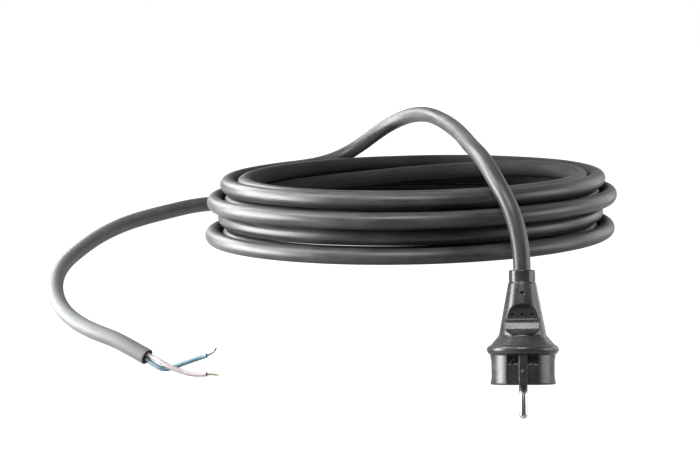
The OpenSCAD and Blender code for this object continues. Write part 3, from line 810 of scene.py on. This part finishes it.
# Hollow beside the rib: its middle, half its width and height, its floor, and the leaning fin in it.
HOLLOW_X, HOLLOW_Z, HOLLOW_HALF_X, HOLLOW_HALF_Z, HOLLOW_FLOOR = 5.4, -50.8, 2.9, 2.7, 13.6
FIN_LEAN, FIN_HALF, FIN_FACE = math.radians(35), 0.45, 15.3
# Waist: the middle and radius of its hollow curve, and how far it runs inwards on each face.
WAIST_X, WAIST_Z, WAIST_R, WAIST_END = 35.2, -56.45, 18, 4.5
# Room in the rubber for the cable, a core, the carrier, and a pin's root, flange and barrel. The last
# four are given as (radius, middle height, half height).
BORE_ROOM_R, BORE_FLOOR, CHANNEL_HALF = 5.05, -28.05, 1.55
CARRIER_ROOM = (4.55, -58.75, 4.3)
PIN_ROOMS = ((2.15, -61, 7), (3.25, -53.7, 0.8), (1.65, -50, 3.1))


def outline_at(radius, height):
    """The outline's distance from the table, by straight interpolation between its four nearest values."""
    r = np.clip(radius / TABLE_STEP, 0, len(TABLE_R) - 1.001)
    z = np.clip((height - TABLE_Z[0]) / TABLE_STEP, 0, len(TABLE_Z) - 1.001)
    i, j = r.astype(int), z.astype(int)
    u, v = r - i, z - j
    return ((OUTLINE_TABLE[i, j] * (1 - v) + OUTLINE_TABLE[i, j + 1] * v) * (1 - u)
            + (OUTLINE_TABLE[i + 1, j] * (1 - v) + OUTLINE_TABLE[i + 1, j + 1] * v) * u)


def near_distance(outline, across, height, margin=3):
    """Distance to a small closed outline, worked out only up to the margin off it, and 5 mm beyond."""
    low, high = outline.min(0) - margin, outline.max(0) + margin
    near = (across > low[0]) & (across < high[0]) & (height > low[1]) & (height < high[1])
    distance = np.full(across.shape, 5.0)
    distance[near] = outline_distance(outline, across[near], height[near])
    return distance


def panel(ax, z, half, bottom, corner):
    """Distance to an upright panel, half wide to each side, open at its top, with rounded lower corners."""
    beside, below = ax - half + corner, bottom + corner - z
    return (np.minimum(np.maximum(beside, below), 0)
            + np.hypot(np.maximum(beside, 0), np.maximum(below, 0)) - corner)


def plug_distance(x, y, z):
    """Distance to the plug's moulding, less than 0 in the rubber, at points with the neck's top at zero.

    Both faces of the plug are alike, so |y| serves for y, and |x| for x. What is cut has a fillet
    of 0.15 to 0.5 mm at its rim.
    """
    ax, ay = np.abs(x), np.abs(y)
    radius = np.hypot(x, y)
    body = outline_at(radius, z)
    # Arched finger recess: a round top over a rounded foot, down to a flat floor.
    arch = np.where(z > RECESS_TOP, np.hypot(x, z - RECESS_TOP) - RECESS_HALF,
                    panel(ax, z, RECESS_HALF, RECESS_FOOT, RECESS_CORNER))
    body = cut(body, shared(arch, RECESS_FLOOR - ay, 0.9), 0.45)
    # Grip bar: it rises from the floor in a hollow curve and rounds over to an upright face.
    bar = shared(near_distance(BAR_PROFILE, ay, z), panel(ax, z, BAR_HALF, BAR_FOOT, BAR_CORNER), 0.6)
    body = joined(body, bar, 0.4)
    for hole_x, hole_z, bottom in MOULD_HOLES:
        body = cut(body, shared(np.hypot(ax - hole_x, z - hole_z) - MOULD_HOLE_R, bottom - ay), 0.15)
    # Guide groove down the skirt, with its rib, a small bump on the rib and a hollow on each side.
    rib = shared(shared(ax - RIB_HALF, ay - RIB_FACE, 0.5), -z - 67)
    rib_bump = np.sqrt(ax ** 2 + (ay - RIB_BUMP_Y) ** 2 + (z - RIB_BUMP_Z) ** 2) - RIB_BUMP_R
    groove = shared(shared(ax - GROOVE_HALF, GROOVE_FLOOR - ay, 0.35), z - GROOVE_TOP, 0.35)
    body = cut(body, cut(groove, joined(rib, rib_bump, 0.3), 0.3), 0.35)
    hollow = shared(np.abs(ax - HOLLOW_X) - HOLLOW_HALF_X, np.abs(z - HOLLOW_Z) - HOLLOW_HALF_Z, 0.4)
    hollow = shared(hollow, HOLLOW_FLOOR - ay, 0.3)
    fin = np.abs((ax - HOLLOW_X) * math.cos(FIN_LEAN) + (z - HOLLOW_Z) * math.sin(FIN_LEAN)) - FIN_HALF
    body = cut(body, cut(hollow, shared(fin, ay - FIN_FACE, 0.2), 0.2), 0.25)
    # Waist on each side of the skirt, for a socket's earth springs.
    waist = shared(np.hypot(ax - WAIST_X, z - WAIST_Z) - WAIST_R, ay - WAIST_END, 0.5)
    body = cut(body, waist, 0.5)
    # What the rubber holds: the cable, its cores, the carrier and the pins.
    inside = joined(
        shared(radius - BORE_ROOM_R, BORE_FLOOR - z),
        shared(near_distance(CORE_CHANNEL, ay, z), ax - CHANNEL_HALF))
    off_pin = np.hypot(x, ay - PIN_Y)
    off_carrier = np.hypot(ax, np.maximum(ay - PIN_Y, 0))
    rooms = zip((off_carrier, off_pin, off_pin, off_pin), (CARRIER_ROOM, *PIN_ROOMS))
    for off, (room_r, middle, half) in rooms:
        inside = joined(inside, shared(off - room_r, np.abs(z - middle) - half))
    return cut(body, inside)


def net(field, lowest, step):
    """Points and faces of the skin where a sampled field passes through 0.

    Each cell of the grid that the skin crosses gets one point, the mean of the crossings on its
    edges. Each grid edge whose ends have unlike signs gets one four-sided face, from the points of
    the four cells round it.
    """
    inside = field < 0
    cells = np.array(field.shape) - 1
    owners, crossings, quads = [], [], []
    for axis in range(3):
        b, c = (axis + 1) % 3, (axis + 2) % 3
        low = [slice(None)] * 3
        high = list(low)
        low[axis], high[axis] = slice(None, -1), slice(1, None)
        index = np.array(np.nonzero(inside[tuple(low)] != inside[tuple(high)]))
        beyond = index.copy()
        beyond[axis] += 1
        first, second = field[tuple(index)], field[tuple(beyond)]
        place = index.astype(float)
        place[axis] += first / (first - second)
        corners = []
        for step_b, step_c in ((-1, -1), (0, -1), (0, 0), (-1, 0)):
            cell = index.copy()
            cell[b] += step_b
            cell[c] += step_c
            corners.append((cell[0] * cells[1] + cell[1]) * cells[2] + cell[2])
            crossings.append(place)
        owners += corners
        quad = np.stack(corners, axis=1)
        outward = first < second
        quads.append(np.where(outward[:, None], quad, quad[:, ::-1]))
    owners, crossings = np.concatenate(owners), np.concatenate(crossings, axis=1)
    used, which = np.unique(owners, return_inverse=True)
    share = np.bincount(which)
    points = np.stack([np.bincount(which, weights=row) / share for row in crossings], axis=1)
    faces = np.searchsorted(used, np.concatenate(quads))
    return lowest + step * points, faces


def plug_skin(step):
    """Points and faces of the plug's moulding: the net of its distance, hung in its place.

    Each point is first moved onto the skin by two steps of Newton's method, against the distance's
    slope over reach millimetres, each of a third of the net's step at most.
    """
    lowest = np.array([-21.2, -21.2, -66.1])
    counts = np.ceil(np.array([42.4, 42.4, 67.3]) / step).astype(int) + 1
    x, y, z = np.meshgrid(*[lowest[k] + step * np.arange(counts[k]) for k in range(3)], indexing="ij")
    points, faces = net(plug_distance(x, y, z), lowest, step)
    reach = 0.02
    for _ in range(2):
        here = plug_distance(*points.T)
        slope = np.stack([
            plug_distance(*(points + reach * move).T) - plug_distance(*(points - reach * move).T)
            for move in np.eye(3)
        ], axis=1) / (2 * reach)
        size = np.maximum((slope ** 2).sum(1), 0.25)
        points = points - np.clip((here / size)[:, None] * slope, -step / 3, step / 3)
    return hung(points), faces.tolist()


def pin_skin(middle_y, diameter):
    """Points, faces and pattern places of one contact pin, a profile turned round the pin's axis.

    The profile runs up from the round tip over the free length, root and flange to the crimp
    barrel, and down into the barrel's bore.
    """
    r, edge = diameter / 2, 0.12
    tip_z = FACE_Z - PIN_LENGTH
    tip = [(r * math.cos(a), tip_z + r + r * math.sin(a)) for a in np.radians(np.arange(-84, 1, 6))]
    profile = tip + [
        (r, FACE_Z - edge), (r - edge, FACE_Z), (ROOT_R, FACE_Z), (ROOT_R, FLANGE_Z),
        (FLANGE_R - edge, FLANGE_Z), (FLANGE_R, FLANGE_Z + edge), (FLANGE_R, FLANGE_TOP - edge),
        (FLANGE_R - edge, FLANGE_TOP), (BARREL_R, FLANGE_TOP), (BARREL_R, -47.0), (1.5, BARREL_TOP),
        (0.95, BARREL_TOP), (CRIMP_R, -47.05), (CRIMP_R, CRIMP_FLOOR),
    ]
    points, faces = turned(profile, tip_z, CRIMP_FLOOR, 64, (0.0, middle_y))
    return hung(points), faces, points * MM


# Settings of the sidebar


def colour_setting(name, description, code):
    """A colour that can be picked, given as sRGB hex."""
    return bpy.props.FloatVectorProperty(
        name=name, description=description, subtype="COLOR", size=4, min=0.0, max=1.0, default=linear(code))


def length_setting(name, description, default, low, high):
    """A length in metres."""
    return bpy.props.FloatProperty(
        name=name, description=description, default=default, min=low, max=high, unit="LENGTH", precision=5)


class LeadSizes(bpy.types.PropertyGroup):
    """Sizes of the lead's pieces."""

    cable: length_setting("Cable diameter", "Outside diameter of the sheath", 0.010, 0.009, 0.0105)
    lay: length_setting("Lay length", "Length in which the two cores turn once", 0.090, 0.05, 0.2)
    core: length_setting("Core diameter", "Outside diameter of a core's insulation", 0.003, 0.0026, 0.0031)
    wire: length_setting("Wire diameter", "Diameter of one wire of a conductor", 0.0003, 0.0002, 0.00032)
    pin: length_setting("Pin diameter", "Diameter of a contact pin's free length", 0.0048, 0.0047, 0.0049)
    plinth: length_setting("Plinth radius", "Radius of the plinth under the coil", 0.135, 0.1, 0.136)
    plinth_height: length_setting("Plinth height", "How far the coil is held over the floor", 0.3, 0.1, 0.5)


class LeadColours(bpy.types.PropertyGroup):
    """Colours of the lead's materials."""

    sheath: colour_setting("Sheath", "Extruded rubber", "#2d2f30")
    sheath_dust: colour_setting("Sheath's film", "Talc and dust on the sheath", "#5a5c5d")
    # Paler sheath of the free tail: partly talc, and partly painted light that brightens it.
    talc_and_painted_light: colour_setting("Talc", "Sheath under a film of talc", "#6a6c6d")
    # Also the colour towards which the coil's inner sides are darkened as painted shade.
    cut: colour_setting("Cut face", "Rubber where it is cut", "#121314")
    scuff: colour_setting("Scuffs", "Rubbed spots on the rubber", "#6a6e6f")
    plug: colour_setting("Plug", "Moulded rubber", "#303233")
    plug_worn: colour_setting("Plug, handled", "Paler patches of the moulded rubber", "#4e5153")
    core_brown: colour_setting("Brown core", "Insulation of the line core", "#978c8d")
    core_brown_pale: colour_setting("Brown core, rubbed", "Paler patches of the line core", "#beb4b6")
    core_blue: colour_setting("Blue core", "Insulation of the neutral core", "#587988")
    core_blue_pale: colour_setting("Blue core, rubbed", "Paler patches of the neutral core", "#91a9b3")
    copper: colour_setting("Copper", "Bare wires", "#989080")
    copper_tarnish: colour_setting("Copper, tarnished", "Dull patches of the wires", "#5e594f")
    nickel: colour_setting("Nickel", "Plate of the pins", "#d2cec4")
    nickel_worn: colour_setting("Nickel, worn", "Plate rubbed by sockets", "#b7ab92")
    carrier: colour_setting("Carrier", "Glass-filled nylon", "#d8d2c2")
    carrier_flow: colour_setting("Carrier's flow marks", "Paler glass-filled nylon", "#e6e2d6")
    floor: colour_setting("Floor", "Studio paint", "#7c7c7b")


# One operator for each piece or group of like pieces


# Softboxes: name, place, what each is turned to, its size in metres and its power in watts.
SOFTBOXES = (
    ("left_softbox", (-1.41, 0.20, 0.25), (0, 0, 0), (1.2, 1.0), 52.8),
    ("top_left_softbox", (-0.96, -0.07, 1.15), (0, 0, 0), (0.8, 0.6), 13.5),
    ("back_left_softbox", (-0.89, 0.98, 0.70), (0, 0, 0), (0.7, 0.7), 12.5),
    ("front_softbox", (-0.15, -0.95, 1.15), (0, 0, 0), (0.65, 0.5), 13.3),
    ("right_softbox", (1.47, -0.26, 0.16), (0, 0, 0), (1.0, 0.8), 9.5),
    ("back_right_softbox", (1.16, 0.91, 0.26), (0, 0, 0), (0.9, 0.9), 4.1),
    ("tail_softbox", (-0.52, -0.18, 0.05), (-0.18, -0.05, -0.04), (0.25, 0.25), 1.7),
)
# The world's own light, a little blue.
STUDIO_TINT = (0.92, 0.96, 1.0, 1.0)
STUDIO_STRENGTH = 0.05


class LEAD_OT_make_stage(bpy.types.Operator):
    """Makes the camera, the floor, the plinth under the coil, the lamps and the world"""

    bl_idname = "lead.make_stage"
    bl_label = "Stage"

    def execute(self, context):
        scene, sizes, paint = context.scene, context.scene.lead_sizes, context.scene.lead_colours.floor
        scene.view_settings.view_transform = "Standard"
        self.add_camera(scene)
        radius, drop, edge_r = sizes.plinth / MM, -sizes.plinth_height / MM, 1.5
        edge = [(radius - edge_r + edge_r * math.sin(a), -edge_r + edge_r * math.cos(a))
                for a in np.radians(range(90, -1, -15))]
        points, faces = turned([(radius, drop), *edge], None, 0.0, 128)
        add_piece("plinth", points, faces, studio_paint("plinth_paint", paint, 0.1), stage=True)
        points, faces = turned([(9000.0, drop), (2000.0, drop), (500.0, drop)], None, drop, 64)
        add_piece("floor", points, faces, studio_paint("floor_paint", paint, 0.2), stage=True)
        for name, place, target, size, power in SOFTBOXES:
            data = bpy.data.lights.new(name, "AREA")
            data.shape = "RECTANGLE"
            data.size, data.size_y = size
            data.energy = power
            lamp = bpy.data.objects.new(name, data)
            lamp.location = place
            lamp.rotation_euler = (Vector(target) - Vector(place)).to_track_quat("-Z", "Y").to_euler()
            scene.collection.objects.link(lamp)
        world = bpy.data.worlds.new("studio")
        world.use_nodes = True
        tree = world.node_tree
        tree.nodes.clear()
        around = add_node(tree, "Background", {
            "Color": STUDIO_TINT, "Strength": STUDIO_STRENGTH})["Background"]
        white = add_node(tree, "Background", {"Color": WHITE, "Strength": 1.0})["Background"]
        seen = seen_directly(tree, add_node(tree, "TexCoord")["Generated"])
        mix = add_node(tree, "MixShader", (seen, around, white))["Shader"]
        add_node(tree, "OutputWorld", {"Surface": mix})
        scene.world = world
        return {"FINISHED"}

    @staticmethod
    def add_camera(scene):
        """A camera in front of the target, a little above it and rolled, with lengths in metres."""
        data = bpy.data.cameras.new("camera")
        data.lens, data.sensor_width = 100.0, 36.0
        data.clip_start, data.clip_end = 0.05, 60.0
        camera = bpy.data.objects.new("camera", data)
        scene.collection.objects.link(camera)
        elevation, roll, distance = math.radians(7.4), math.radians(-1.3), 1.24
        target = Vector((-0.036, 0.0, 0.0075))
        turn = Matrix.Rotation(math.radians(90) - elevation, 4, "X") @ Matrix.Rotation(roll, 4, "Z")
        back = Vector((0.0, -math.cos(elevation), math.sin(elevation)))
        camera.matrix_world = Matrix.Translation(target + distance * back) @ turn
        scene.camera = camera


class LEAD_OT_make_cores(bpy.types.Operator):
    """Makes the two cores' insulation and their bare wires at the cut end"""

    bl_idname = "lead.make_cores"
    bl_label = "Cores"

    def execute(self, context):
        sizes, colours = context.scene.lead_sizes, context.scene.lead_colours
        diameter, wire = sizes.core / MM, sizes.wire / MM
        hole = 2.5 * wire + 0.08  # as wide as the wires, with some room
        brown = core_insulation("core_rubber_brown", colours.core_brown, colours.core_brown_pale)
        blue = core_insulation("core_rubber_blue", colours.core_blue, colours.core_blue_pale)
        copper = bare_copper("bare_copper", colours)
        for name, side, route, material, ragged, flare, bends, seed in (
            ("brown", 1, BROWN_ROUTE, brown, 0.18, 0.0, BROWN_WIRES, 3),
            ("blue", -1, BLUE_ROUTE, blue, 0.55, 0.14, BLUE_WIRES, 8),
        ):
            points, faces, place = core_skin(side, route, diameter, hole, ragged, flare)
            core = add_piece(f"insulation_{name}", points, faces, material, place)
            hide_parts(f"core_{name}")
            points, faces = stranded_skin(route[-1], route[-2], bends, wire, 11.0, seed)
            wires = add_piece(f"conductor_{name}", points, faces, copper)
            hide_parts(f"strands_{name}")
        return {"FINISHED"}


class LEAD_OT_make_cable(bpy.types.Operator):
    bl_idname = "lead.make_cable"
    bl_label = "Cable"

    def execute(self, context):
        sizes, colours = context.scene.lead_sizes, context.scene.lead_colours
        points, faces, place, centres, is_cut = cable_skin(sizes.cable / MM, sizes.lay / MM)
        sheath = add_piece("sheath", points, faces, extruded_rubber("extruded_rubber", colours), place)
        sheath.data.materials.append(cut_rubber("cut_rubber", colours))
        sheath.data.polygons.foreach_set("material_index", is_cut.astype(np.int32))
        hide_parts("cable_coil", "cable_arch", "cable_tail", "sheath_end")
        return {"FINISHED"}


class LEAD_OT_make_plug(bpy.types.Operator):
    """Makes the plug's moulded rubber body"""

    bl_idname = "lead.make_plug"
    bl_label = "Plug"

    def execute(self, context):
        points, faces = plug_skin(PLUG_STEP)
        rubber = moulded_rubber("moulded_rubber", context.scene.lead_colours)
        plug = add_piece("plug_moulding", points, faces, rubber)
        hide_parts("plug_body")
        return {"FINISHED"}


class LEAD_OT_make_pins(bpy.types.Operator):
    """Makes the two contact pins"""

    bl_idname = "lead.make_pins"
    bl_label = "Pins"

    def execute(self, context):
        plate = nickel_plate("nickel_plate", context.scene.lead_colours)
        for name, y in (("line", -PIN_Y), ("neutral", PIN_Y)):
            points, faces, place = pin_skin(y, context.scene.lead_sizes.pin / MM)
            pin = add_piece(f"contact_pin_{name}", points, faces, plate, place)
            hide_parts(f"pin_{name}")
        return {"FINISHED"}


class LEAD_OT_finish_inner(bpy.types.Operator):
    """Gives the CAD pieces inside the plug their materials"""

    bl_idname = "lead.finish_inner"
    bl_label = "Inner pieces"

    def execute(self, context):
        colours = context.scene.lead_colours
        copper = bpy.data.materials["bare_copper"]
        materials = {
            "plug_sheath": extruded_rubber("extruded_rubber_inner", colours, False),
            "plug_core_brown": core_insulation(
                "core_rubber_brown_inner", colours.core_brown, colours.core_brown_pale, False),
            "plug_core_blue": core_insulation(
                "core_rubber_blue_inner", colours.core_blue, colours.core_blue_pale, False),
            "plug_strands_brown": copper,
            "plug_strands_blue": copper,
            "pin_carrier": filled_nylon("filled_nylon", colours),
        }
        for name, material in materials.items():
            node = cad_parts[name]
            for slot in node.material_slots:
                slot.material = material
            if not node.material_slots:
                node.data.materials.append(material)
        return {"FINISHED"}


OPERATORS = (
    LEAD_OT_make_stage, LEAD_OT_make_cores, LEAD_OT_make_cable, LEAD_OT_make_plug, LEAD_OT_make_pins,
    LEAD_OT_finish_inner,
)


class LEAD_PT_sidebar(bpy.types.Panel):
    """Lists the lead's pieces and settings"""

    bl_idname = "LEAD_PT_sidebar"
    bl_label = "Supply lead"
    bl_space_type = "VIEW_3D"
    bl_region_type = "UI"
    bl_category = "Supply lead"

    def draw(self, context):
        for operator in OPERATORS:
            self.layout.operator(operator.bl_idname, text=operator.bl_label)
        for settings in (context.scene.lead_sizes, context.scene.lead_colours):
            column = self.layout.column()
            for name in settings.__annotations__:
                column.prop(settings, name)


CLASSES = (LeadSizes, LeadColours, *OPERATORS, LEAD_PT_sidebar)


def register():
    """Makes the lead's classes and settings known."""
    for cls in CLASSES:
        bpy.utils.register_class(cls)
    bpy.types.Scene.lead_sizes = bpy.props.PointerProperty(type=LeadSizes)
    bpy.types.Scene.lead_colours = bpy.props.PointerProperty(type=LeadColours)


def unregister():
    """Takes the settings and classes away again."""
    del bpy.types.Scene.lead_colours
    del bpy.types.Scene.lead_sizes
    for cls in reversed(CLASSES):
        bpy.utils.unregister_class(cls)


def main():
    """Makes the stage and every piece."""
    register()
    bpy.ops.lead.make_stage()
    bpy.ops.lead.make_cores()
    bpy.ops.lead.make_cable()
    bpy.ops.lead.make_plug()
    bpy.ops.lead.make_pins()
    bpy.ops.lead.finish_inner()


if __name__ == "__main__":
    main()
